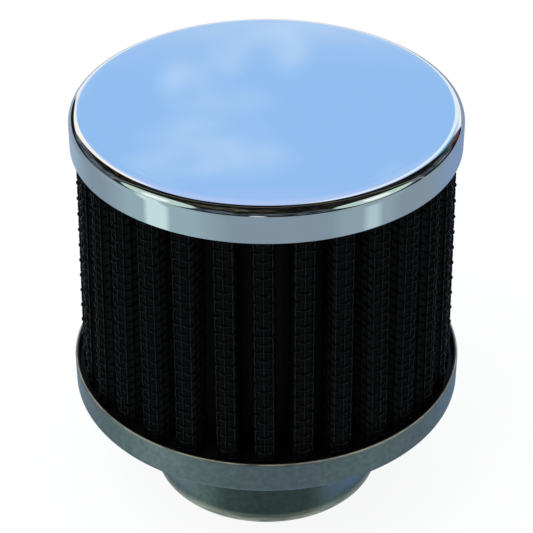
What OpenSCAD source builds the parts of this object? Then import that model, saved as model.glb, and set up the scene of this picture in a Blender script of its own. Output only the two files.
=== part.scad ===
// Crankcase breather filter: a pleated element between a drawn cap and a drawn pan with a neck.
// Millimetres. The origin is the centre of the neck's lower rim, and +Z runs up the axis.

/* [Cap] */
// Height of the cap, from its hem to its flat top
cap_h = 7.2; // [6:0.1:10]
// Sheet thickness of the cap
cap_t = 0.7; // [0.5:0.1:1]
// Outer radius of the cap's shoulder
cap_round = 2.2; // [1.5:0.1:3]

/* [Pan] */
// Height of the pan, from its underside to its rim
pan_h = 7.1; // [6:0.1:10]
// Sheet thickness of the pan and its neck
pan_t = 0.9; // [0.6:0.1:1.2]
// Outer radius of the bend between the pan's floor and its wall
pan_round = 1.5; // [1.3:0.1:2.5]

/* [Neck] */
// Outer diameter of the neck
neck_d = 48; // [38:0.5:60]
// Length of the neck, from its rim to the pan's underside
neck_h = 22.3; // [15:0.1:40]
// Outer radius of the blend between the neck and the pan's underside
neck_blend = 1.2; // [0.8:0.1:2]
// Height of the rounded lead at the neck's rim
neck_lead = 1.3; // [0.8:0.1:2]
// Width of the flat that the lead leaves on the rim
neck_land = 0.2; // [0.1:0.05:0.4]

/* [Element] */
// Height of the body, from the pan's underside to the cap's top
body_h = 63.9; // [50:0.1:90]
// Number of pleats
pleats = 30; // [24:1:32]
// Depth of a pleat, from the wires on its tip to its inner edge, at the cap's hem
pleat_depth = 11.55; // [9:0.05:16]
// How much further out the tips stand at the pan's rim than at the cap's hem
pleat_flare = 1.2; // [0:0.05:2]
// Width of a pleat across its tip
pleat_w = 4; // [3.6:0.1:4.3]
// Outer radius of the two folds at a pleat's tip
tip_round = 0.5; // [0.3:0.05:0.8]
// Radius of the folds at the foot of a pleat
foot_round = 0.4; // [0.2:0.05:0.6]
// Thickness of the gauze
media_t = 0.9; // [0.6:0.1:1]
// Thickness of each wire screen
screen_t = 0.3; // [0.2:0.05:0.4]
// Clearance between the wires and the inside of the cap, at the hem
cap_gap = 0.25; // [0.1:0.05:0.6]
// Clearance between the wires and the inside of the pan, at the rim
pan_gap = 0.7; // [0.3:0.05:1.2]
// Distance from the neck's blend out to the pleats' inner edge
pleat_setback = 0.4; // [0.2:0.05:1]

/* [Wires] */
// Spacing of the screen's cross wires
wire_pitch = 1.81; // [1.6:0.01:2.6]
// Width of an upright wire
wire_d = 0.36; // [0.3:0.02:0.5]
// Distance from a tip's folds in to its upright wires
wire_inset = 0.06; // [0.04:0.01:0.2]
// Height of an upright wire above the screen
upright_h = 0.42; // [0.4:0.01:0.5]
// Height of a cross wire above the screen, under that of the upright wires
cross_h = 0.34; // [0.25:0.01:0.38]
// Height of the dips between the cross wires above the screen
dip_h = 0.06; // [0.04:0.01:0.1]

/* [Seals] */
// Depth of each potting ring
seal_h = 4; // [3:0.1:5]

/* [Hidden] */
$fn = 96;
bend_steps = 8; // straight runs in a bend of the sheet
fold_steps = 2; // straight runs in a fold at a pleat's tip
foot_steps = 1; // straight runs in a fold at a pleat's foot

// Radii, built outward from the neck
neck_r = neck_d / 2;
seal_r = neck_r + neck_blend;
pleat_bore = seal_r + pleat_setback;
hem_crest = pleat_bore + pleat_depth;
rim_crest = hem_crest + pleat_flare;
cap_bore = hem_crest + cap_gap;
pan_bore = rim_crest + pan_gap;
cap_r = cap_bore + cap_t;
pan_r = pan_bore + pan_t;

// Heights, built upward from the neck's rim
top_z = neck_h + body_h;
hem_z = top_z - cap_h;
roof_z = top_z - cap_t;
rim_z = neck_h + pan_h;
floor_z = neck_h + pan_t;
pleat_z0 = floor_z + seal_h;
pleat_z1 = roof_z - seal_h;

pleat_angle = 360 / pleats;
wall_t = media_t + 2 * screen_t;
half_w = pleat_w / 2;
foot_r = pleat_bore + wall_t;
sink = screen_t / 2; // how deep the wires are rooted in the screen
cross_wires = round((pleat_z1 - pleat_z0) / wire_pitch);

// Points of an elliptical arc about c, from angle a0 to a1
function arc(c, rx, ry, a0, a1, steps) =
    [for (i = [0:steps]) let (a = a0 + (a1 - a0) * i / steps) c + [rx * cos(a), ry * sin(a)]];

function bend(c, r, a0, a1) = arc(c, r, r, a0, a1, bend_steps);

// Inside of the cap's shoulder, from the skirt up to the roof, shared with the potting
cap_fold = [cap_r - cap_round, top_z - cap_round];
cap_inside = bend(cap_fold, cap_round - cap_t, 0, 90);

// Inside of the pan's corner, from the floor out to the wall, shared with the potting
pan_fold = [pan_r - pan_round, neck_h + pan_round];
pan_inside = bend(pan_fold, pan_round - pan_t, -90, 0);

// Radius of the screen at a pleat's tip, under its wires, which flares from the hem to the rim
function screen_r(z) = hem_crest + pleat_flare * (hem_z - z) / (hem_z - rim_z) - upright_h;

// Half of a pleat's outline in its own frame, x outward and y across, from foot to tip.
// depth is measured into the wall from the outer screen's face.
function half_pleat(depth, tip_r) =
    let (
        fold = max(tip_round - depth, 0.05),
        foot = foot_round + depth,
        foot_x = sqrt(pow(foot_r + foot_round, 2) - pow(half_w + foot_round, 2)),
        foot_c = [foot_x, -half_w - foot_round],
        foot_a = atan2(-foot_c[1], -foot_c[0]),
        tip_c = [tip_r - depth - fold, -half_w + depth + fold]
    )
    concat(arc(foot_c, foot, foot, foot_a, 90, foot_steps), arc(tip_c, fold, fold, -90, 0, fold_steps));

function mirrored(points) = [for (i = [len(points) - 1:-1:0]) [points[i][0], -points[i][1]]];

function turned(p, a) = [p[0] * cos(a) - p[1] * sin(a), p[0] * sin(a) + p[1] * cos(a)];

// The whole pleated outline at one depth and height, with a tip facing -Y
function pleated_ring(depth, z) =
    let (half = half_pleat(depth, screen_r(z)), pleat = concat(half, mirrored(half)), mid = foot_r - depth)
    [for (k = [0:pleats - 1]) let (a = k * pleat_angle - 90)
        each concat([turned([mid, 0], a - pleat_angle / 2)], [for (p = pleat) turned(p, a)])];

function raised(points, z) = [for (p = points) [p[0], p[1], z]];

// A pleated sleeve from one depth of the wall to another
module pleated_sleeve(outer_depth, inner_depth) {
    rings = [for (depth = [outer_depth, inner_depth], z = [pleat_z0, pleat_z1])
        raised(pleated_ring(depth, z), z)];
    n = len(rings[0]);
    sides = [for (i = [0:n - 1]) let (j = (i + 1) % n) each [
        [i, n + i, n + j, j],
        [2 * n + i, 2 * n + j, 3 * n + j, 3 * n + i],
        [i, j, 2 * n + j, 2 * n + i],
        [n + i, 3 * n + i, 3 * n + j, n + j]
    ]];
    polyhedron(points = [for (ring = rings) each ring], faces = sides, convexity = 10);
}

// Cross wires on a pleat's tip, as one ridged strip along it
module cross_strip() {
    pitch = (pleat_z1 - pleat_z0) / cross_wires;
    face = [for (i = [0:cross_wires * 2]) let (z = pleat_z0 + i * pitch / 2)
        [screen_r(z) + (i % 2 == 1 ? cross_h : dip_h), z]];
    back = [for (z = [pleat_z1, pleat_z0]) [screen_r(z) - sink, z]];
    rotate([90, 0, 0])
        linear_extrude(height = pleat_w - 2 * (tip_round + wire_inset) - wire_d, center = true)
            polygon(concat(face, back));
}

// One upright wire on a pleat's tip
module upright() {
    face = [for (z = [pleat_z0, pleat_z1]) [screen_r(z) + upright_h, z]];
    back = [for (z = [pleat_z1, pleat_z0]) [screen_r(z) - sink, z]];
    rotate([90, 0, 0])
        linear_extrude(height = wire_d, center = true)
            polygon(concat(face, back));
}

module tip_wires() {
    cross_strip();
    for (side = [-1, 1])
        translate([0, side * (half_w - tip_round - wire_inset - wire_d / 2), 0])
            upright();
}

module top_cap() {
    color([0.75, 0.82, 0.9])
        rotate_extrude()
            polygon(concat(
                [[0, roof_z], [0, top_z]],
                bend(cap_fold, cap_round, 90, 0),
                [[cap_r, hem_z], [cap_bore, hem_z]],
                cap_inside
            ));
}

module top_seal() {
    color([0.1, 0.1, 0.1])
        rotate_extrude()
            polygon(concat([[seal_r, roof_z], [seal_r, pleat_z1], [cap_bore, pleat_z1]], cap_inside));
}

module outer_screen() {
    color([0.04, 0.04, 0.04]) {
        pleated_sleeve(0, screen_t);
        for (k = [0:pleats - 1])
            rotate([0, 0, k * pleat_angle - 90])
                tip_wires();
    }
}

module filter_media() {
    color([0.08, 0.07, 0.07])
        pleated_sleeve(screen_t, screen_t + media_t);
}

module inner_screen() {
    color([0.3, 0.31, 0.32])
        pleated_sleeve(screen_t + media_t, wall_t);
}

module bottom_seal() {
    color([0.1, 0.1, 0.1])
        rotate_extrude()
            polygon(concat([[seal_r, floor_z]], pan_inside, [[pan_bore, pleat_z0], [seal_r, pleat_z0]]));
}

module base_pan() {
    neck_fold = [neck_r + neck_blend, neck_h - neck_blend];
    neck_bore = neck_r - pan_t;
    lead = pan_t - neck_land;
    color([0.42, 0.48, 0.48])
        rotate_extrude()
            polygon(concat(
                [[neck_bore, 0]],
                bend(neck_fold, neck_blend + pan_t, 180, 90),
                pan_inside,
                [[pan_bore, rim_z], [pan_r, rim_z]],
                bend(pan_fold, pan_round, 0, -90),
                bend(neck_fold, neck_blend, 90, 180),
                arc([neck_r - lead, neck_lead], lead, neck_lead, 0, -90, bend_steps)
            ));
}

base_pan();
bottom_seal();
inner_screen();
filter_media();
outer_screen();
top_seal();
top_cap();
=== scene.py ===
"""Looks of a crankcase breather filter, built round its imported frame. Metres, +Z up."""
import math
import random

import bpy
import numpy as np
from bpy.props import FloatProperty, FloatVectorProperty, IntProperty, PointerProperty
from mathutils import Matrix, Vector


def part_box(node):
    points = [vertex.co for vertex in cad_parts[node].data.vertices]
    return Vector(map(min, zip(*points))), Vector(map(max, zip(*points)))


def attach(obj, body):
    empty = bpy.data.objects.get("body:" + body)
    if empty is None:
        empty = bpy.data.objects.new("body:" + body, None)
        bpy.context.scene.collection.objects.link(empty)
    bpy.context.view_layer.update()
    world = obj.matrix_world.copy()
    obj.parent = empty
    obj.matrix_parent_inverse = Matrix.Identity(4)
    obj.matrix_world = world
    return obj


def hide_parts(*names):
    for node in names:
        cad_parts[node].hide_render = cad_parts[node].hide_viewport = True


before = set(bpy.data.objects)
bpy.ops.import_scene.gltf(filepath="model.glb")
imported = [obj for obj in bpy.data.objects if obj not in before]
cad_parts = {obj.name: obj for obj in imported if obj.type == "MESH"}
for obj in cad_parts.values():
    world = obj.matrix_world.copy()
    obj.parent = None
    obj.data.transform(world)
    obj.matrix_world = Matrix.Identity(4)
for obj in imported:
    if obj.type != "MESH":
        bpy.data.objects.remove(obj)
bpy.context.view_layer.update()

MM = 0.001

bl_info = {
    "name": "Crankcase Breather Filter",
    "version": (1, 0, 0),
    "blender": (4, 5, 0),
    "location": "View3D > Sidebar > Breather",
    "description": "Builds the finished pieces of a round crankcase breather filter",
    "category": "Object",
}

# Reach of the floor and the surroundings, and the height of the surroundings' middle
FLOOR_REACH = 4.0
DOME_REACH = 3.0
DOME_HEIGHT = 0.05

# Places that the frame gives
CAP_LOW, CAP_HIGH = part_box("top_cap")
PAN_LOW, PAN_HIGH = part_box("base_pan")
PLEAT_LOW, PLEAT_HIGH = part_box("filter_media")


def length(name, description, default_mm):
    """A size property, given in millimetres and held in metres"""
    return FloatProperty(name=name, description=description, default=default_mm * MM, min=0, unit="LENGTH")


def colour(name, description, default):
    """A linear colour property"""
    return FloatVectorProperty(name=name, description=description, default=default,
                               size=3, min=0, max=1, subtype="COLOR")


class BreatherCapSettings(bpy.types.PropertyGroup):
    """Sizes and colour of the chrome cap"""
    sheet: length("Sheet", "Thickness of the cap's sheet", 0.7)
    shoulder: length("Shoulder", "Outer radius of the cap's shoulder", 2.2)
    edge: length("Edge", "Radius that softens the cut hem", 0.12)
    roll: length("Roll", "Drop of the top towards the shoulder", 0.012)
    roll_width: length("Roll width", "Width of the ring that drops", 1.8)
    ripple: length("Ripple", "Height of the faint drawing rings near the shoulder", 0.008)
    ripple_pitch: length("Ripple pitch", "Spacing of the drawing rings", 1.3)
    chrome: colour("Chrome", "Tint of the chrome plate", (0.90, 0.93, 0.95))


class BreatherPanSettings(bpy.types.PropertyGroup):
    """Sizes and colours of the zinc pan and neck"""
    sheet: length("Sheet", "Thickness of the pan's sheet", 0.9)
    corner: length("Corner", "Outer radius between floor and wall", 1.5)
    neck_diameter: length("Neck diameter", "Outer diameter of the neck", 48)
    neck_length: length("Neck length", "From the neck's rim to the pan's underside", 22.3)
    blend: length("Blend", "Outer radius between neck and pan", 1.2)
    lead: length("Lead", "Height of the rounded rim of the neck", 1.3)
    land: length("Land", "Flat left on the neck's rim", 0.2)
    edge: length("Edge", "Radius that rounds the cut rim", 0.4)
    # The dark band inside the rim is partly potting, partly painted shade
    smear_and_shade_gap: length("Smear", "Width of the rim that stays clear of potting", 0.25)
    # The blue and grey tints are painted reflections of the surroundings on the neck's sides
    blue: colour("Blue stain", "Tint at the right side of the neck", (0.34, 0.57, 0.96))
    grey: colour("Grey stain", "Tint at the left side of the neck", (0.84, 0.89, 0.98))
    zinc: colour("Zinc", "Colour of the dull zinc plate", (0.275, 0.32, 0.295))
    # Partly edge wear, partly a painted highlight on the neck's lead and the rim
    worn_and_lit: colour("Worn edge", "Colour where edges are rubbed bright", (0.74, 0.69, 0.53))


class BreatherScreenSettings(bpy.types.PropertyGroup):
    """Sizes and colours of the pleated screens and gauze"""
    pleats: IntProperty(name="Pleats", description="Number of pleats", default=30, min=3)
    wire: length("Wire", "Diameter of the screen's wire", 0.34)
    pitch: length("Pitch", "Spacing of the wires both ways", 1.81)
    crest_top: length("Crest at the cap", "Radius over the wires at the cap's hem", 37.15)
    crest_rim: length("Crest at the pan", "Radius over the wires at the pan's rim", 38.35)
    tip_width: length("Tip width", "Width of a pleat between the middles of its wires", 3.6)
    fold: length("Fold", "Radius of the folds at a pleat's tip", 0.75)
    upright_count: IntProperty(name="Uprights", description="Upright wires on each pleat", default=9, min=3)
    foot: length("Foot", "Radius of the gauze between two pleats", 26.9)
    drift: FloatProperty(name="Drift", description="Turn of all pleats, in degrees", default=-0.55)
    wander: FloatProperty(name="Wander", description="How far pleats stray from even spacing, in degrees",
                          default=0.6, min=0)
    lean: FloatProperty(name="Lean", description="How far pleats lean from foot to head, in degrees",
                        default=0.35, min=0)
    stiffness: FloatProperty(name="Stiffness", description="Share of the weave's bend in the uprights",
                             default=0.22, min=0, max=1)
    # Painted shade and light: over this depth into a fold, gloss is painted out and the gauze is painted paler
    fold_light_depth: length("Soak", "Depth of a fold over which its shine is lost to oil", 1.3)
    bulge: length("Bulge", "How far the gauze swells through the screen", 0.07)
    black: colour("Black", "Colour of the coated wire", (0.0022, 0.0024, 0.0028))
    gauze: colour("Gauze", "Colour of the oiled gauze", (0.0014, 0.0015, 0.0014))


class BreatherStageSettings(bpy.types.PropertyGroup):
    """Camera, floor and light"""
    lens: FloatProperty(name="Lens", description="Focal length in millimetres", default=119.45)
    camera_back: length("Camera distance", "Level distance from the axis to the camera", 298.44)
    camera_height: length("Camera height", "Height of the camera over the floor", 250.99)
    camera_pitch: FloatProperty(name="Pitch", description="Angle that the camera looks down by",
                                default=math.radians(34.17), subtype="ANGLE")
    sky: colour("Sky", "Blue that the cap mirrors", (0.32, 0.56, 0.93))
    cloud: colour("Cloud", "Pale wisps in the sky", (0.50, 0.70, 0.98))
    ground: colour("Ground", "Grey that the skirt mirrors", (0.24, 0.31, 0.37))


def settings():
    return bpy.context.scene.breather


class BreatherSettings(bpy.types.PropertyGroup):
    """All settings of the breather"""
    cap: PointerProperty(type=BreatherCapSettings)
    pan: PointerProperty(type=BreatherPanSettings)
    screen: PointerProperty(type=BreatherScreenSettings)
    stage: PointerProperty(type=BreatherStageSettings)


# Mesh tools

def new_piece(name, points, faces, material, smooth=True):
    """A mesh object from points and faces, with one material"""
    mesh = bpy.data.meshes.new(name)
    mesh.from_pydata([tuple(p) for p in points], [], [tuple(f) for f in faces])
    mesh.validate()
    mesh.polygons.foreach_set("use_smooth", [smooth] * len(mesh.polygons))
    mesh.materials.append(material)
    mesh.update()
    piece = bpy.data.objects.new(name, mesh)
    bpy.context.scene.collection.objects.link(piece)
    return piece


def arc(centre, rx, rz, start, end, steps):
    """Points of an elliptical arc in the radius-height plane, angles in degrees"""
    turn = [math.radians(start + (end - start) * i / steps) for i in range(steps + 1)]
    return [(centre[0] + rx * math.cos(t), centre[1] + rz * math.sin(t)) for t in turn]


def flat(start, end):
    """Two points just inside the ends of a straight stretch, which keep its shading flat"""
    share = 0.03 * MM / math.dist(start, end)
    return [tuple(a + (b - a) * t for a, b in zip(start, end)) for t in (share, 1 - share)]


def lathe(name, profile, steps, material, closed):
    """Turns a profile of (radius, height) about the axis; an open profile ends on the axis"""
    ring = [2 * math.pi * k / steps for k in range(steps)]
    points, index = [], []
    for radius, height in profile:
        if radius < 1e-9:
            index.append([len(points)] * steps)
            points.append((0, 0, height))
        else:
            index.append(list(range(len(points), len(points) + steps)))
            points += [(radius * math.cos(t), radius * math.sin(t), height) for t in ring]
    faces = []
    last = len(profile) if closed else len(profile) - 1
    for i in range(last):
        a, b = index[i], index[(i + 1) % len(profile)]
        for k in range(steps):
            n = (k + 1) % steps
            corners = [a[k], a[n], b[n], b[k]]
            faces.append([c for j, c in enumerate(corners) if c not in corners[:j]])
    return new_piece(name, points, faces, material)


def tubes(name, paths, radius, sides, material):
    """Round wires as one mesh; each path is (points, across, up) with unit vectors at each point"""
    around = [2 * math.pi * k / sides for k in range(sides)]
    points, faces, base = [], [], 0
    for path, across, up in paths:
        spokes = [radius * (math.cos(t) * across + math.sin(t) * up) for t in around]
        rings = np.stack([path + spoke for spoke in spokes], axis=1)
        points.append(rings.reshape(-1, 3))
        count = len(path)
        i = np.arange(count - 1)[:, None] * sides
        k = np.arange(sides)[None, :]
        n = (k + 1) % sides
        quads = np.stack([i + k, i + n, i + sides + n, i + sides + k], axis=-1).reshape(-1, 4)
        faces.append(quads + base)
        base += count * sides
    return new_piece(name, np.concatenate(points), np.concatenate(faces).tolist(), material)


# Material tools

def new_material(name):
    """A material with its nodes, links and Principled shader"""
    material = bpy.data.materials.new(name)
    material.use_nodes = True
    nodes = material.node_tree.nodes
    return material, nodes, material.node_tree.links, nodes["Principled BSDF"]


def group_node(nodes, group, **values):
    """One use of a node group, with its own input values"""
    node = nodes.new("ShaderNodeGroup")
    node.node_tree = group
    for key, value in values.items():
        node.inputs[key.replace("_", " ")].default_value = value
    return node


def calc(nodes, links, operation, *values, clamp=False):
    """One math node fed by sockets or numbers"""
    node = nodes.new("ShaderNodeMath")
    node.operation = operation
    node.use_clamp = clamp
    for socket, value in zip(node.inputs, values):
        if isinstance(value, (int, float)):
            socket.default_value = value
        else:
            links.new(value, socket)
    return node.outputs[0]


def blend(nodes, links, factor, first, second):
    """One colour mix; the colours are sockets or linear colours"""
    node = nodes.new("ShaderNodeMix")
    node.data_type = "RGBA"
    links.new(factor, node.inputs["Factor"])
    for label, value in (("A", first), ("B", second)):
        if isinstance(value, bpy.types.NodeSocket):
            links.new(value, node.inputs[label])
        else:
            node.inputs[label].default_value = (*value, 1)
    return node.outputs["Result"]


def darker_to_lighter(nodes, links, factor, tone, low, high):
    """A tone that runs from low to high times itself"""
    return blend(nodes, links, factor, [low * c for c in tone], [high * c for c in tone])


def mapped(nodes, links, value, low, high):
    """A value from 0 to 1, spread from low to high"""
    node = nodes.new("ShaderNodeMapRange")
    node.inputs["To Min"].default_value = low
    node.inputs["To Max"].default_value = high
    links.new(value, node.inputs["Value"])
    return node.outputs[0]


def bumped(nodes, links, shader, height, strength, distance):
    """A bump node that feeds the shader's normal"""
    bump = nodes.new("ShaderNodeBump")
    bump.inputs["Strength"].default_value = strength
    bump.inputs["Distance"].default_value = distance
    links.new(height, bump.inputs["Height"])
    links.new(bump.outputs[0], shader.inputs["Normal"])


def position(nodes, links, unit=False):
    """The shaded point's coordinates, or its direction from the middle of the stage"""
    place = nodes.new("ShaderNodeTexCoord").outputs["Object"]
    if unit:
        scaled = nodes.new("ShaderNodeVectorMath")
        scaled.operation = "NORMALIZE"
        links.new(place, scaled.inputs[0])
        place = scaled.outputs[0]
    split = nodes.new("ShaderNodeSeparateXYZ")
    links.new(place, split.inputs[0])
    return split.outputs["X"], split.outputs["Y"], split.outputs["Z"]


def new_group(name, inputs, outputs):
    """An empty shader node group; inputs are (name, socket type, default)"""
    group = bpy.data.node_groups.new(name, "ShaderNodeTree")
    for label, kind, default in inputs:
        group.interface.new_socket(label, in_out="INPUT", socket_type=kind).default_value = default
    for label, kind in outputs:
        group.interface.new_socket(label, in_out="OUTPUT", socket_type=kind)
    entry, leave = group.nodes.new("NodeGroupInput"), group.nodes.new("NodeGroupOutput")
    return group, group.nodes, group.links, entry, leave


def mottle_group():
    """Cloudy patches and fine streaks that run round the axis, from 0 to 1"""
    group, nodes, links, entry, leave = new_group(
        "breather_mottle",
        [("Patch Scale", "NodeSocketFloat", 120.0), ("Streak Scale", "NodeSocketFloat", 900.0)],
        [("Patches", "NodeSocketFloat"), ("Streaks", "NodeSocketFloat")])
    place = nodes.new("ShaderNodeTexCoord")
    patches = nodes.new("ShaderNodeTexNoise")
    patches.inputs["Detail"].default_value = 5
    patches.inputs["Roughness"].default_value = 0.6
    links.new(place.outputs["Object"], patches.inputs["Vector"])
    links.new(entry.outputs["Patch Scale"], patches.inputs["Scale"])
    squash = nodes.new("ShaderNodeMapping")
    squash.inputs["Scale"].default_value = (0.12, 0.12, 1.0)
    links.new(place.outputs["Object"], squash.inputs["Vector"])
    streaks = nodes.new("ShaderNodeTexNoise")
    streaks.inputs["Detail"].default_value = 3
    links.new(squash.outputs["Vector"], streaks.inputs["Vector"])
    links.new(entry.outputs["Streak Scale"], streaks.inputs["Scale"])
    links.new(patches.outputs["Fac"], leave.inputs["Patches"])
    links.new(streaks.outputs["Fac"], leave.inputs["Streaks"])
    return group


# Height masks for the zinc's wear and potting, and for its painted shade, highlights and reflections
def height_mask_group():
    """1 below one height or above another, fading over a soft width"""
    group, nodes, links, entry, leave = new_group(
        "breather_height_mask",
        [("Height", "NodeSocketFloat", 0.0), ("Softness", "NodeSocketFloat", 0.0005)],
        [("Above", "NodeSocketFloat"), ("Below", "NodeSocketFloat")])
    rise = calc(nodes, links, "SUBTRACT", position(nodes, links)[2], entry.outputs["Height"])
    scaled = calc(nodes, links, "DIVIDE", rise, entry.outputs["Softness"])
    above = calc(nodes, links, "ADD", scaled, 0.5, clamp=True)
    links.new(above, leave.inputs["Above"])
    links.new(calc(nodes, links, "SUBTRACT", 1.0, above), leave.inputs["Below"])
    return group


def radius_from_axis(nodes, links):
    """Distance from the part's axis, and height, of the shaded point"""
    x, y, z = position(nodes, links)
    square = calc(nodes, links, "MULTIPLY_ADD", x, x, calc(nodes, links, "MULTIPLY", y, y))
    return calc(nodes, links, "SQRT", square), z


def tip_mask(nodes, links):
    """1 on the pleats' tips, fading to 0 down their sides; it places painted shade and painted light in the
    folds
    """
    screen = settings().screen
    radius, z = radius_from_axis(nodes, links)
    slope = (screen.crest_rim - screen.crest_top) / (CAP_LOW[2] - PAN_HIGH[2])
    crest = calc(nodes, links, "MULTIPLY_ADD", z, -slope, screen.crest_top + slope * CAP_LOW[2])
    depth = calc(nodes, links, "SUBTRACT", crest, radius)
    return calc(nodes, links, "MULTIPLY_ADD", depth, -1 / screen.fold_light_depth, 1.6, clamp=True)


def chrome_material():
    """Mirror chrome with a trace of drawing marks"""
    material, nodes, links, shader = new_material("chrome_plate")
    cap = settings().cap
    shader.inputs["Metallic"].default_value = 1.0
    mottle = group_node(nodes, mottle_group_once(), Patch_Scale=60.0, Streak_Scale=400.0)
    links.new(mapped(nodes, links, mottle.outputs["Streaks"], 0.015, 0.05), shader.inputs["Roughness"])
    tint = darker_to_lighter(nodes, links, mottle.outputs["Patches"], cap.chrome, 1.0, 0.97)
    links.new(tint, shader.inputs["Base Color"])
    return material


def zinc_material():
    """Dull mottled zinc: painted shade low on the neck, painted reflections at the neck's sides, pale edges
    that are partly wear and partly painted highlight, potting and painted shade inside the rim
    """
    material, nodes, links, shader = new_material("zinc_plate")
    pan = settings().pan
    mottle = group_node(nodes, mottle_group_once(), Patch_Scale=900.0, Streak_Scale=1500.0)
    grain = calc(nodes, links, "MULTIPLY_ADD", mottle.outputs["Patches"], 1.8, -0.4, clamp=True)
    tint = darker_to_lighter(nodes, links, grain, pan.zinc, 0.74, 1.26)

    # Painted shade: the neck is made darker low down, most of all in its middle
    across = calc(nodes, links, "DIVIDE", position(nodes, links)[0], pan.neck_diameter / 2)
    middle = calc(nodes, links, "MULTIPLY_ADD", calc(nodes, links, "ABSOLUTE", across), -5.0, 2.75, clamp=True)
    neck = group_node(nodes, height_mask_group_once(), Height=15 * MM, Softness=11 * MM)
    painted_neck_shade = calc(nodes, links, "MULTIPLY_ADD", middle, 0.55, 0.45)
    painted_neck_shade = calc(nodes, links, "MULTIPLY", painted_neck_shade, neck.outputs["Below"])
    shaded = nodes.new("ShaderNodeMix")
    shaded.data_type = "RGBA"
    shaded.blend_type = "MULTIPLY"
    links.new(painted_neck_shade, shaded.inputs["Factor"])
    links.new(tint, shaded.inputs["A"])
    shaded.inputs["B"].default_value = (0.40, 0.46, 0.40, 1)
    colour_now = shaded.outputs["Result"]
    # Painted reflections: a blue tint on the neck's right side and a grey one on its left
    upper = group_node(nodes, height_mask_group_once(), Height=6 * MM, Softness=8 * MM)
    below_pan = group_node(nodes, height_mask_group_once(), Height=pan.neck_length, Softness=0.5 * MM)
    band = calc(nodes, links, "MULTIPLY", upper.outputs["Above"], below_pan.outputs["Below"])
    for slope, start, sheen in ((3.0, -1.35, tuple(pan.blue)), (-4.0, -2.3, tuple(pan.grey))):
        side = calc(nodes, links, "MULTIPLY_ADD", across, slope, start, clamp=True)
        colour_now = blend(nodes, links, calc(nodes, links, "MULTIPLY", side, band), colour_now, sheen)

    # Edges at the neck's lead and at the rim made pale, partly wear and partly painted highlight, which count
    # as less metallic
    metal = 1.0
    for height, softness, end in ((pan.lead * 1.3, pan.lead * 1.6, "Below"),
                                  (PAN_HIGH[2] - 0.16 * MM, 0.2 * MM, "Above")):
        mask = group_node(nodes, height_mask_group_once(), Height=height, Softness=softness)
        rubbed_and_lit = calc(nodes, links, "MULTIPLY_ADD", mottle.outputs["Streaks"], 2.5, -0.4, clamp=True)
        rubbed_and_lit = calc(nodes, links, "MULTIPLY", mask.outputs[end], rubbed_and_lit)
        colour_now = blend(nodes, links, rubbed_and_lit, colour_now, tuple(pan.worn_and_lit))
        metal = calc(nodes, links, "SUBTRACT", metal, calc(nodes, links, "MULTIPLY", rubbed_and_lit, 0.3))

    # Potting on the inside of the rim, with painted shade darkening the rim's inner part
    inward = calc(nodes, links, "SUBTRACT", PAN_HIGH[0] - pan.smear_and_shade_gap, radius_from_axis(nodes, links)[0])
    smeared_and_shaded = calc(nodes, links, "DIVIDE", inward, 0.1 * MM, clamp=True)
    top = group_node(nodes, height_mask_group_once(), Height=PAN_HIGH[2] - 2.5 * MM, Softness=0.2 * MM)
    smeared_and_shaded = calc(nodes, links, "MULTIPLY", smeared_and_shaded, top.outputs["Above"])
    colour_now = blend(nodes, links, smeared_and_shaded, colour_now, (0.006, 0.006, 0.006))
    metal = calc(nodes, links, "SUBTRACT", metal, smeared_and_shaded, clamp=True)
    links.new(colour_now, shader.inputs["Base Color"])
    links.new(metal, shader.inputs["Metallic"])

    # A thin film over the pan's wall
    shader.inputs["Coat Roughness"].default_value = 0.3
    film = calc(nodes, links, "MULTIPLY_ADD", mottle.outputs["Patches"], 0.4, 0.4)
    wall = group_node(nodes, height_mask_group_once(), Height=pan.neck_length + 1.5 * MM, Softness=1 * MM)
    film = calc(nodes, links, "MULTIPLY", film, wall.outputs["Above"])
    film = calc(nodes, links, "MULTIPLY", film, calc(nodes, links, "SUBTRACT", 1.0, smeared_and_shaded))
    links.new(film, shader.inputs["Coat Weight"])
    links.new(mapped(nodes, links, mottle.outputs["Streaks"], 0.32, 0.5), shader.inputs["Roughness"])
    bumped(nodes, links, shader, mottle.outputs["Patches"], 0.3, 0.06 * MM)
    return material


def wire_material(name, tone, roughness, painted_folds):
    """Wire of one tone; with painted folds, painted shade takes the gloss from the wires down the folds, so
    only the pleats' tips still shine
    """
    material, nodes, links, shader = new_material(name)
    mottle = group_node(nodes, mottle_group_once(), Patch_Scale=700.0, Streak_Scale=2500.0)
    patches = mottle.outputs["Patches"]
    links.new(darker_to_lighter(nodes, links, patches, tone, 0.6, 1.5), shader.inputs["Base Color"])
    uneven = mapped(nodes, links, patches, 0.6 * roughness, 1.6 * roughness)
    links.new(uneven, shader.inputs["Roughness"])
    shader.inputs["Specular IOR Level"].default_value = 0.03
    shader.inputs["Coat Roughness"].default_value = roughness
    if painted_folds:
        # Painted shade: the coat's gloss fades down the folds
        shine = calc(nodes, links, "MULTIPLY_ADD", patches, 0.55, 0.12)
        shine = calc(nodes, links, "MULTIPLY", shine, tip_mask(nodes, links))
        links.new(shine, shader.inputs["Coat Weight"])
    return material


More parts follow.
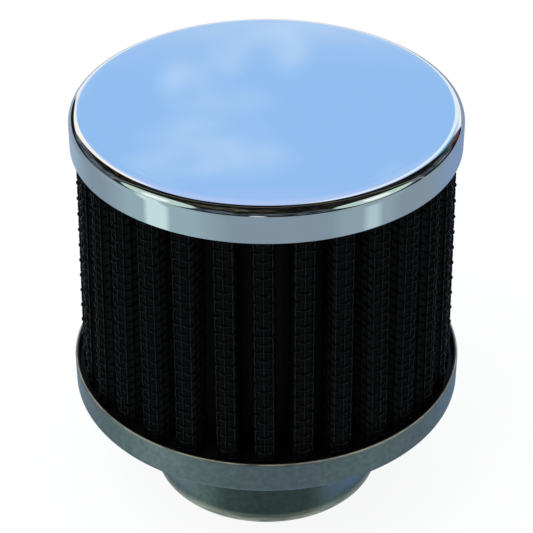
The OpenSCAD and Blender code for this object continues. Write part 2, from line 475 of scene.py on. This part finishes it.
def gauze_material():
    """Cotton threads, nearly black with oil on the pleats' tips, with painted light that makes them paler deep
    in the folds and painted shade that takes their gloss there
    """
    material, nodes, links, shader = new_material("oiled_gauze")
    tone = settings().screen.gauze
    place = nodes.new("ShaderNodeTexCoord")
    threads = []
    for axis in "XZ":
        wave = nodes.new("ShaderNodeTexWave")
        wave.bands_direction = axis
        wave.inputs["Scale"].default_value = 420.0
        wave.inputs["Distortion"].default_value = 1.5
        links.new(place.outputs["Object"], wave.inputs["Vector"])
        threads.append(wave.outputs["Fac"])
    cloth = calc(nodes, links, "MAXIMUM", *threads)
    oiled = darker_to_lighter(nodes, links, cloth, tone, 0.5, 1.8)
    # Painted light: deep in the folds the gauze is painted paler, and its gloss is painted out
    painted_folds = tip_mask(nodes, links)
    links.new(blend(nodes, links, painted_folds, [9.0 * c for c in tone], oiled), shader.inputs["Base Color"])
    shader.inputs["Roughness"].default_value = 0.75
    shader.inputs["Specular IOR Level"].default_value = 0.01
    shader.inputs["Coat Roughness"].default_value = 0.7
    links.new(calc(nodes, links, "MULTIPLY", painted_folds, 0.11), shader.inputs["Coat Weight"])
    bumped(nodes, links, shader, cloth, 0.5, 0.1 * MM)
    return material


def potting_material():
    """Satin black potting"""
    material, nodes, links, shader = new_material("potting")
    mottle = group_node(nodes, mottle_group_once(), Patch_Scale=90.0, Streak_Scale=300.0)
    tint = darker_to_lighter(nodes, links, mottle.outputs["Patches"], (0.003, 0.003, 0.003), 1.0, 2.0)
    links.new(tint, shader.inputs["Base Color"])
    shader.inputs["Roughness"].default_value = 0.42
    shader.inputs["Specular IOR Level"].default_value = 0.15
    return material


_groups = {}


def mottle_group_once():
    """The mottle group, built at its first use"""
    if "mottle" not in _groups:
        _groups["mottle"] = mottle_group()
    return _groups["mottle"]


def height_mask_group_once():
    """The height mask group, built at its first use"""
    if "height" not in _groups:
        _groups["height"] = height_mask_group()
    return _groups["height"]


# Pieces

class BREATHER_OT_cap(bpy.types.Operator):
    """Turn the chrome cap"""
    bl_idname = "breather.cap"
    bl_label = "Chrome Cap"

    def execute(self, context):
        cap = settings().cap
        radius, top, hem = CAP_HIGH[0], CAP_HIGH[2], CAP_LOW[2]
        fold = (radius - cap.shoulder, top - cap.shoulder)
        bore, roof = radius - cap.sheet, top - cap.sheet
        inner = cap.shoulder - cap.sheet
        crown = []
        for i in range(1, 61):
            r = fold[0] * (1 - i / 60)
            rolled = max(0, 1 - (fold[0] - r) / cap.roll_width)
            ring = math.exp(-((fold[0] - cap.roll_width - r) / cap.roll_width) ** 2)
            wave = 0.5 - 0.5 * math.cos((fold[0] - r) * 2 * math.pi / cap.ripple_pitch)
            crown.append((r, top + cap.roll * (1 - rolled ** 3) - cap.roll - cap.ripple * ring * wave))
        profile = [(0, roof)]
        profile += [(fold[0] * i / 6, roof) for i in range(1, 6)]
        profile += arc(fold, inner, inner, 90, 0, 12)
        profile += flat((bore, fold[1]), (bore, hem + cap.edge))
        profile += arc((bore + cap.edge, hem + cap.edge), cap.edge, cap.edge, 180, 270, 4)
        profile += arc((radius - cap.edge, hem + cap.edge), cap.edge, cap.edge, 270, 360, 4)
        profile += flat((radius, hem + cap.edge), (radius, fold[1]))
        profile += [(r, z - cap.roll * (z - fold[1]) / cap.shoulder)
                    for r, z in arc(fold, cap.shoulder, cap.shoulder, 0, 90, 32)]
        profile += crown
        piece = lathe("chrome_cap", profile, 360, chrome_material(), closed=False)
        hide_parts("top_cap")
        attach(piece, "root")
        return {"FINISHED"}


class BREATHER_OT_pan(bpy.types.Operator):
    """Turn the zinc pan with its neck"""
    bl_idname = "breather.pan"
    bl_label = "Zinc Pan"

    def execute(self, context):
        pan = settings().pan
        radius, rim, under = PAN_HIGH[0], PAN_HIGH[2], pan.neck_length
        neck = pan.neck_diameter / 2
        corner = (radius - pan.corner, under + pan.corner)
        blend = (neck + pan.blend, under - pan.blend)
        lead = pan.sheet - pan.land
        bore, wall = neck - pan.sheet, radius - pan.sheet
        profile = [(bore, 0)] + flat((bore, 0), (bore, blend[1]))
        profile += arc(blend, pan.blend + pan.sheet, pan.blend + pan.sheet, 180, 90, 12)
        profile += flat((blend[0], under + pan.sheet), (corner[0], under + pan.sheet))
        profile += arc(corner, pan.corner - pan.sheet, pan.corner - pan.sheet, -90, 0, 10)
        profile += flat((wall, corner[1]), (wall, rim - pan.edge))
        profile += arc((wall + pan.edge, rim - pan.edge), pan.edge, pan.edge, 180, 90, 4)
        profile += arc((radius - pan.edge, rim - pan.edge), pan.edge, pan.edge, 90, 0, 4)
        profile += flat((radius, rim - pan.edge), (radius, corner[1]))
        profile += arc(corner, pan.corner, pan.corner, 0, -90, 16)
        profile += flat((corner[0], under), (blend[0], under))
        profile += arc(blend, pan.blend, pan.blend, 90, 180, 12)
        profile += flat((neck, blend[1]), (neck, pan.lead))
        profile += arc((neck - lead, pan.lead), lead, pan.lead, 0, -90, 16)
        piece = lathe("zinc_pan", profile, 288, zinc_material(), closed=True)
        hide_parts("base_pan")
        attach(piece, "root")
        return {"FINISHED"}


def pleat_places():
    """Angle, lean and stand-off of each pleat, all slightly uneven"""
    screen = settings().screen
    dice = random.Random(7)
    step = 360 / screen.pleats
    places = []
    for k in range(screen.pleats):
        angle = math.radians(k * step - 90 + screen.drift + dice.uniform(-1, 1) * screen.wander)
        lean = math.radians(dice.uniform(-1, 1) * screen.lean)
        places.append((angle, lean, dice.uniform(-0.12, 0.04) * MM))
    return places


def fold_line(s, half_width, fold):
    """Pleat outline at run s from the tip's middle: depth, place across and outward normal"""
    level = half_width - fold
    quarter = fold * math.pi / 2
    side, run = np.sign(s), np.abs(s)
    turn = np.clip((run - level) / fold, 0, math.pi / 2)
    straight = np.clip(run - level - quarter, 0, None)
    depth = -fold * (1 - np.cos(turn)) - straight
    across = side * (np.minimum(run, level) + fold * np.sin(turn))
    return depth, across, np.cos(turn), side * np.sin(turn)


def screen_crest(z):
    """Radius over the wires at a height, flaring from hem to rim"""
    screen = settings().screen
    share = (CAP_LOW[2] - z) / (CAP_LOW[2] - PAN_HIGH[2])
    return screen.crest_top + (screen.crest_rim - screen.crest_top) * share


def pleat_angle(place, z):
    """Angle of a pleat at a height"""
    middle, half = (PLEAT_LOW[2] + PLEAT_HIGH[2]) / 2, (PLEAT_HIGH[2] - PLEAT_LOW[2]) / 2
    return place[0] + place[1] * (z - middle) / half


def woven_points(s, z, lift, place):
    """Points of one pleat's woven sheet: s across it, z up it, lift off its middle surface"""
    screen = settings().screen
    depth, across, nx, ny = fold_line(s, screen.tip_width / 2, screen.fold)
    x = screen_crest(z) - screen.wire + place[2] + depth + lift * nx
    y = across + lift * ny
    angle = pleat_angle(place, z)
    c, d = np.cos(angle), np.sin(angle)
    points = np.stack([x * c - y * d, x * d + y * c, z + 0 * x], axis=-1)
    normal = np.stack([nx * c - ny * d, nx * d + ny * c, 0 * nx], axis=-1)
    return points, normal


def weave_rows():
    """Count of cross wires and the height of the first"""
    pitch = settings().screen.pitch
    low, high = PLEAT_LOW[2], PLEAT_HIGH[2]
    rows = int((high - low) / pitch)
    return rows, low + ((high - low) - (rows - 1) * pitch) / 2


class BREATHER_OT_screen(bpy.types.Operator):
    """Weave the outer screen's wires over the pleats"""
    bl_idname = "breather.screen"
    bl_label = "Woven Screen"

    def execute(self, context):
        screen = settings().screen
        pitch = screen.pitch
        cross_wave, upright_wave = (1 - screen.stiffness) * screen.wire, screen.stiffness * screen.wire
        low, high = PLEAT_LOW[2], PLEAT_HIGH[2]
        rows, first = weave_rows()
        half = screen.upright_count // 2
        black = wire_material("black_wire", screen.black, 0.18, True)
        up = np.array([0.0, 0.0, 1.0])
        cross_paths, upright_paths = [], []
        s = np.arange(-half * 3, half * 3 + 1) * pitch / 3
        weave = np.cos(np.pi * s / pitch)
        tall = low + 0.01 * MM + (high - low - 0.02 * MM) * np.arange(2 * rows + 1) / (2 * rows)
        for place in pleat_places():
            for row in range(rows):
                flip = 1 if row % 2 else -1
                z = np.full_like(s, first + row * pitch)
                points, normal = woven_points(s, z, cross_wave * weave * flip, place)
                cross_paths.append((points, normal, np.broadcast_to(up, points.shape)))
            for j in range(-half, half + 1):
                flip = -1 if j % 2 else 1
                lift = upright_wave * flip * np.cos(np.pi * (tall - first) / pitch)
                points, normal = woven_points(np.full_like(tall, j * pitch), tall, lift, place)
                upright_paths.append((points, normal, np.cross(up, normal)))
        for name, paths in (("cross_wires", cross_paths), ("upright_wires", upright_paths)):
            piece = tubes(name, paths, screen.wire / 2, 4, black)
            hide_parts("outer_screen")
            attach(piece, "root")
        return {"FINISHED"}


class BREATHER_OT_gauze(bpy.types.Operator):
    """Fold the gauze behind the wires, swelling a little through the mesh"""
    bl_idname = "breather.gauze"
    bl_label = "Gauze"

    def execute(self, context):
        screen = settings().screen
        pitch, half = screen.pitch, screen.upright_count // 2
        low, high = PLEAT_LOW[2], PLEAT_HIGH[2]
        rows, first = weave_rows()
        z = low + 0.005 * MM + (high - low - 0.01 * MM) * np.arange(2 * rows + 1) / (2 * rows)
        s = np.arange(-half * 2, half * 2 + 1) * pitch / 2
        swell = np.outer(np.abs(np.sin(np.pi * s / pitch)), np.abs(np.sin(np.pi * (z - first) / pitch)))
        places = pleat_places()
        columns = []
        for k, place in enumerate(places):
            gap = (places[(k + 1) % len(places)][0] - place[0]) % (2 * math.pi)
            grid_s, grid_z = np.meshgrid(s, z, indexing="ij")
            points, _ = woven_points(grid_s, grid_z, screen.bulge * swell - screen.wire / 3, place)
            columns += list(points)
            for share, rise in ((0.35, 0.5), (0.5, 0), (0.65, 0.5)):
                turn = pleat_angle(place, z) + gap * share
                radius = screen.foot + rise * MM
                columns.append(np.stack([radius * np.cos(turn), radius * np.sin(turn), z], axis=-1))
        sheet = np.stack(columns)
        count, tall = sheet.shape[:2]
        index = np.arange(count * tall).reshape(count, tall)
        after = np.roll(index, -1, axis=0)
        faces = np.stack([index[:, :-1], after[:, :-1], after[:, 1:], index[:, 1:]], axis=-1).reshape(-1, 4)
        piece = new_piece("gauze", sheet.reshape(-1, 3), faces.tolist(), gauze_material())
        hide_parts("filter_media")
        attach(piece, "root")
        return {"FINISHED"}


class BREATHER_OT_element(bpy.types.Operator):
    """Finish the inner screen and the potting rings"""
    bl_idname = "breather.element"
    bl_label = "Inner Screen and Potting"

    def execute(self, context):
        plain, potting = wire_material("plain_wire", (0.05, 0.05, 0.05), 0.4, False), potting_material()
        for node, material in (("inner_screen", plain), ("top_seal", potting), ("bottom_seal", potting)):
            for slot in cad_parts[node].material_slots:
                slot.material = material
        return {"FINISHED"}


# Stage

def patch_group():
    """1 inside a patch of directions, by azimuth from -Y (right positive) and elevation in degrees"""
    group, nodes, links, entry, leave = new_group(
        "breather_sky_patch",
        [("Azimuth", "NodeSocketFloat", 0.0), ("Elevation", "NodeSocketFloat", 0.0),
         ("Width", "NodeSocketFloat", 10.0), ("Height", "NodeSocketFloat", 10.0),
         ("Squareness", "NodeSocketFloat", 2.0), ("Softness", "NodeSocketFloat", 0.2)],
        [("Mask", "NodeSocketFloat")])
    x, y, z = position(nodes, links, unit=True)
    front = calc(nodes, links, "MULTIPLY", y, -1.0)
    azimuth = calc(nodes, links, "DEGREES", calc(nodes, links, "ARCTAN2", x, front))
    elevation = calc(nodes, links, "DEGREES", calc(nodes, links, "ARCSINE", z))
    off = calc(nodes, links, "SUBTRACT", azimuth, entry.outputs["Azimuth"])
    off = calc(nodes, links, "ABSOLUTE", calc(nodes, links, "WRAP", off, 180.0, -180.0))
    rise = calc(nodes, links, "SUBTRACT", elevation, entry.outputs["Elevation"])
    rise = calc(nodes, links, "ABSOLUTE", rise)
    power = entry.outputs["Squareness"]
    across = calc(nodes, links, "POWER", calc(nodes, links, "DIVIDE", off, entry.outputs["Width"]), power)
    along = calc(nodes, links, "POWER", calc(nodes, links, "DIVIDE", rise, entry.outputs["Height"]), power)
    reach = calc(nodes, links, "POWER", calc(nodes, links, "ADD", across, along),
                 calc(nodes, links, "DIVIDE", 1.0, power))
    inside = calc(nodes, links, "SUBTRACT", 1.0, reach)
    inside = calc(nodes, links, "DIVIDE", inside, entry.outputs["Softness"])
    links.new(calc(nodes, links, "ADD", inside, 0.5, clamp=True), leave.inputs["Mask"])
    return group


def surroundings_material():
    """Open sky behind, dark trees and a roof in front with bright gaps, and grey ground"""
    stage = settings().stage
    material = bpy.data.materials.new("surroundings")
    material.use_nodes = True
    nodes, links = material.node_tree.nodes, material.node_tree.links
    nodes.clear()
    output = nodes.new("ShaderNodeOutputMaterial")
    glow = nodes.new("ShaderNodeEmission")
    links.new(glow.outputs[0], output.inputs["Surface"])
    place = nodes.new("ShaderNodeTexCoord")
    group = patch_group()

    def patch(below, tone, strength=1.0, **shape):
        node = group_node(nodes, group, **shape)
        mask = calc(nodes, links, "MULTIPLY", node.outputs[0], strength)
        return blend(nodes, links, mask, below, tone)

    def noise(scale, detail, stretch=(1, 1, 1), shift=(0, 0, 0)):
        mapping = nodes.new("ShaderNodeMapping")
        mapping.inputs["Scale"].default_value = stretch
        mapping.inputs["Location"].default_value = shift
        unit = nodes.new("ShaderNodeVectorMath")
        unit.operation = "NORMALIZE"
        links.new(place.outputs["Object"], unit.inputs[0])
        links.new(unit.outputs[0], mapping.inputs["Vector"])
        texture = nodes.new("ShaderNodeTexNoise")
        texture.inputs["Scale"].default_value = scale
        texture.inputs["Detail"].default_value = detail
        links.new(mapping.outputs[0], texture.inputs["Vector"])
        return texture.outputs["Fac"]

    def spread(value, start, end):
        node = nodes.new("ShaderNodeMapRange")
        node.interpolation_type = "SMOOTHSTEP"
        links.new(value, node.inputs["Value"])
        node.inputs["From Min"].default_value = start
        node.inputs["From Max"].default_value = end
        return node.outputs[0]

    # Sky, seen from az 180 (behind the breather)
    wisps = spread(noise(17.0, 2.0, (0.7, 1, 1.6), (-0.0084, 0, -0.018)), 0.5, 0.9)
    sky = blend(nodes, links, wisps, tuple(stage.sky), tuple(stage.cloud))
    frayed = spread(noise(30.0, 1.0, (1, 1, 2)), 0.1, 0.9)
    for azimuth, elevation, width, height in ((-179.3, 26.8, 3.0, 0.6), (-178.4, 27.7, 0.8, 0.7),
                                              (179.1, 27.7, 0.7, 0.7), (-176.7, 28.8, 0.9, 0.8),
                                              (-177.4, 30.6, 2.2, 0.6), (-178.6, 31.4, 2.4, 0.6)):
        sky = patch(sky, tuple(stage.cloud), frayed, Azimuth=azimuth, Elevation=elevation,
                    Width=width, Height=height, Softness=1.0)
    sky = patch(sky, (0.47, 0.61, 0.95), Azimuth=180.0, Elevation=51.5, Width=60.0, Height=18.0,
                Softness=0.12)
    sky = patch(sky, (0.93, 0.95, 0.96), Azimuth=180.0, Elevation=0.0, Width=400.0, Height=21.0,
                Softness=0.7)
    sky = patch(sky, (0.82, 0.93, 1.0), Azimuth=159.0, Elevation=30.0, Width=8.5, Height=50.0,
                Squareness=4.0, Softness=0.3)
    sky = patch(sky, (0.35, 0.30, 0.28), Azimuth=153.0, Elevation=2.0, Width=15.0, Height=5.0,
                Squareness=4.0, Softness=0.3)
    sky = patch(sky, (1.0, 0.98, 0.94), Azimuth=-146.0, Elevation=26.0, Width=13.0, Height=28.0,
                Squareness=6.0, Softness=0.1)
    sky = patch(sky, (0.70, 0.52, 0.33), Azimuth=-136.5, Elevation=24.0, Width=2.0, Height=22.0,
                Squareness=4.0, Softness=0.4)
    sky = patch(sky, (0.012, 0.010, 0.008), Azimuth=-138.0, Elevation=6.0, Width=16.0, Height=12.0,
                Squareness=6.0, Softness=0.2)

    # Dark shade from the zenith down to the front, mottled brown, with dim gaps low between the trees
    brown = spread(noise(9.0, 4.0, (1, 1, 3)), 0.5, 0.75)
    shade = blend(nodes, links, brown, (0.005, 0.005, 0.006), (0.075, 0.07, 0.05))
    _, depth, height = position(nodes, links, unit=True)
    off_line = calc(nodes, links, "ABSOLUTE", calc(nodes, links, "SUBTRACT", depth, 0.03))
    line = calc(nodes, links, "SUBTRACT", 1.0, calc(nodes, links, "MULTIPLY", off_line, 30.0), clamp=True)
    line = calc(nodes, links, "MULTIPLY", line, 0.8)
    shade = blend(nodes, links, line, shade, (0.30, 0.28, 0.22))
    gaps = spread(noise(6.0, 3.0, (1, 1, 2.5)), 0.38, 0.72)
    shade = patch(shade, (0.19, 0.24, 0.31), gaps, Azimuth=0.0, Elevation=19.5, Width=400.0, Height=9.5,
                  Softness=0.7)
    bark = spread(noise(16.0, 3.0, (1, 1, 2)), 0.4, 0.65)
    shade = patch(shade, (0.15, 0.14, 0.095), bark, Azimuth=-27.0, Elevation=54.0, Width=27.0, Height=10.0,
                  Softness=0.7)
    opening = group_node(nodes, group, Azimuth=-179.0, Elevation=0.0, Width=43.0, Height=67.0,
                         Squareness=8.0, Softness=0.06)
    high = blend(nodes, links, opening.outputs[0], shade, sky)
    high = patch(high, (0.09, 0.09, 0.115), 0.9, Azimuth=-99.0, Elevation=4.0, Width=13.0, Height=8.0,
                 Softness=0.6)
    high = patch(high, (0.04, 0.20, 0.25), Azimuth=137.5, Elevation=31.0, Width=5.0, Height=8.0,
                 Softness=0.5)
    high = patch(high, (0.80, 0.80, 0.76), Azimuth=-4.5, Elevation=4.5, Width=4.5, Height=3.5, Softness=0.4)
    high = patch(high, (0.16, 0.05, 0.028), Azimuth=132.5, Elevation=18.0, Width=4.0, Height=9.0,
                 Squareness=4.0, Softness=0.3)
    pale_green = (0.52, 0.68, 0.60)
    high = patch(high, pale_green, Azimuth=-62.5, Elevation=21.5, Width=23.5, Height=21.0, Softness=0.1)
    high = patch(high, (1, 1, 1), Azimuth=-63.0, Elevation=20.0, Width=8.0, Height=9.0,
                 Squareness=4.0, Softness=0.15)
    high = patch(high, pale_green, Azimuth=62.0, Elevation=22.0, Width=25.0, Height=17.0, Softness=0.1)
    high = patch(high, (1, 1, 1), Azimuth=63.0, Elevation=22.0, Width=8.0, Height=9.0,
                 Squareness=4.0, Softness=0.15)

    # Ground, with bright strips to the left and right of the viewer
    flat_tone = nodes.new("ShaderNodeRGB")
    flat_tone.outputs[0].default_value = (*stage.ground, 1)
    ground = patch(flat_tone.outputs[0], (0.34, 0.44, 0.56), Azimuth=-170.0, Elevation=-40.0, Width=34.0,
                   Height=200.0, Softness=0.8)
    ground = patch(ground, (0.225, 0.315, 0.48), Azimuth=152.0, Elevation=-40.0, Width=34.0,
                   Height=200.0, Softness=0.8)
    ground = patch(ground, (0.31, 0.43, 0.48), Azimuth=-64.0, Elevation=-40.0, Width=32.0, Height=90.0,
                   Squareness=3.0, Softness=0.7)
    ground = patch(ground, (0.28, 0.37, 0.42), Azimuth=60.0, Elevation=-40.0, Width=19.0, Height=90.0,
                   Squareness=3.0, Softness=0.4)
    ground = patch(ground, (0.60, 0.77, 0.76), Azimuth=-65.8, Elevation=-40.0, Width=7.6, Height=60.0,
                   Squareness=5.0, Softness=0.45)
    ground = patch(ground, (0.45, 0.59, 0.62), Azimuth=63.5, Elevation=-35.0, Width=5.0, Height=7.0,
                   Squareness=3.0, Softness=0.9)
    horizon = calc(nodes, links, "MULTIPLY_ADD", height, 40.0, 0.5, clamp=True)
    links.new(blend(nodes, links, horizon, ground, high), glow.inputs["Color"])
    glow.inputs["Strength"].default_value = 1.0
    return material


def white_for_eyes(nodes, links, base_shader, glow_strength):
    """White for camera, glossy and transmitted rays, mixed over another shader of the same kind"""
    path = nodes.new("ShaderNodeLightPath")
    seen = calc(nodes, links, "MAXIMUM", path.outputs["Is Camera Ray"], path.outputs["Is Glossy Ray"])
    seen = calc(nodes, links, "MAXIMUM", seen, path.outputs["Is Transmission Ray"])
    share = calc(nodes, links, "MULTIPLY", seen, glow_strength)
    mix = nodes.new("ShaderNodeMixShader")
    in_world = base_shader.node.type == "BACKGROUND"
    white = nodes.new("ShaderNodeBackground" if in_world else "ShaderNodeEmission")
    white.inputs["Color"].default_value = (1, 1, 1, 1)
    links.new(share, mix.inputs[0])
    links.new(base_shader, mix.inputs[1])
    links.new(white.outputs[0], mix.inputs[2])
    return mix.outputs[0]


class BREATHER_OT_stage(bpy.types.Operator):
    """Set the floor, the surroundings, the light and the camera"""
    bl_idname = "breather.stage"
    bl_label = "Stage"

    def execute(self, context):
        stage = settings().stage
        scene = context.scene
        scene.view_settings.view_transform = "Standard"

        floor_material, nodes, links, shader = new_material("pale_floor")
        shader.inputs["Base Color"].default_value = (0.95, 0.95, 0.95, 1)
        shader.inputs["Roughness"].default_value = 0.9
        shader.inputs["Specular IOR Level"].default_value = 0.0
        output = nodes["Material Output"]
        geometry = nodes.new("ShaderNodeNewGeometry")
        clear = nodes.new("ShaderNodeBsdfTransparent")
        both = nodes.new("ShaderNodeMixShader")
        links.new(geometry.outputs["Backfacing"], both.inputs[0])
        links.new(white_for_eyes(nodes, links, shader.outputs[0], 0.88), both.inputs[1])
        links.new(clear.outputs[0], both.inputs[2])
        links.new(both.outputs[0], output.inputs["Surface"])
        corners = [(x * FLOOR_REACH, y * FLOOR_REACH, 0) for x, y in ((-1, -1), (1, -1), (1, 1), (-1, 1))]
        floor = new_piece("floor", corners, [(0, 1, 2, 3)], floor_material, smooth=False)

        ring, rows = 64, 24
        points, faces = [], []
        for row in range(rows + 1):
            rise = math.pi * (row / rows - 0.5)
            level, height = DOME_REACH * math.cos(rise), DOME_REACH * math.sin(rise)
            for k in range(ring):
                turn = 2 * math.pi * k / ring
                points.append((level * math.cos(turn), level * math.sin(turn), height))
        for row in range(rows):
            for k in range(ring):
                n = (k + 1) % ring
                faces.append((row * ring + k, row * ring + n, (row + 1) * ring + n, (row + 1) * ring + k))
        dome = new_piece("surroundings", points, faces, surroundings_material())
        dome.location.z = DOME_HEIGHT
        for sight in ("visible_camera", "visible_diffuse", "visible_transmission",
                      "visible_volume_scatter", "visible_shadow"):
            setattr(dome, sight, False)
        floor.visible_glossy = False

        world = bpy.data.worlds.new("soft_light")
        scene.world = world
        world.use_nodes = True
        nodes, links = world.node_tree.nodes, world.node_tree.links
        light = nodes["Background"]
        light.inputs["Color"].default_value = (0.95, 0.98, 1.0, 1)
        light.inputs["Strength"].default_value = 1.05
        lit = white_for_eyes(nodes, links, light.outputs[0], 1.0)
        links.new(lit, nodes["World Output"].inputs["Surface"])

        sun = bpy.data.lights.new("soft_key", "AREA")
        sun.shape, sun.size, sun.energy = "DISK", 0.6, 2.5
        lamp = bpy.data.objects.new("soft_key", sun)
        scene.collection.objects.link(lamp)
        lamp.location = (-0.35, -0.25, 0.75)
        lamp.rotation_euler = (math.radians(35), 0, math.radians(-54))
        lamp.visible_glossy = False

        camera = bpy.data.cameras.new("camera")
        camera.lens, camera.sensor_width = stage.lens, 36.0
        eye = bpy.data.objects.new("camera", camera)
        scene.collection.objects.link(eye)
        eye.location = (0, -stage.camera_back, stage.camera_height)
        eye.rotation_euler = (math.pi / 2 - stage.camera_pitch, 0, 0)
        scene.camera = eye
        return {"FINISHED"}


STEPS = (BREATHER_OT_cap, BREATHER_OT_pan, BREATHER_OT_screen, BREATHER_OT_gauze,
         BREATHER_OT_element, BREATHER_OT_stage)


class BREATHER_PT_panel(bpy.types.Panel):
    """Lists the breather's pieces in the sidebar"""
    bl_idname = "BREATHER_PT_panel"
    bl_label = "Breather Filter"
    bl_space_type = "VIEW_3D"
    bl_region_type = "UI"
    bl_category = "Breather"

    def draw(self, context):
        for step in STEPS:
            self.layout.operator(step.bl_idname)


CLASSES = (BreatherCapSettings, BreatherPanSettings, BreatherScreenSettings, BreatherStageSettings,
           BreatherSettings, *STEPS, BREATHER_PT_panel)


def register():
    for cls in CLASSES:
        bpy.utils.register_class(cls)
    bpy.types.Scene.breather = PointerProperty(type=BreatherSettings)


def unregister():
    del bpy.types.Scene.breather
    for cls in reversed(CLASSES):
        bpy.utils.unregister_class(cls)


def main():
    """Builds every piece and the stage"""
    register()
    bpy.ops.breather.cap()
    bpy.ops.breather.pan()
    bpy.ops.breather.screen()
    bpy.ops.breather.gauze()
    bpy.ops.breather.element()
    bpy.ops.breather.stage()


if __name__ == "__main__":
    main()
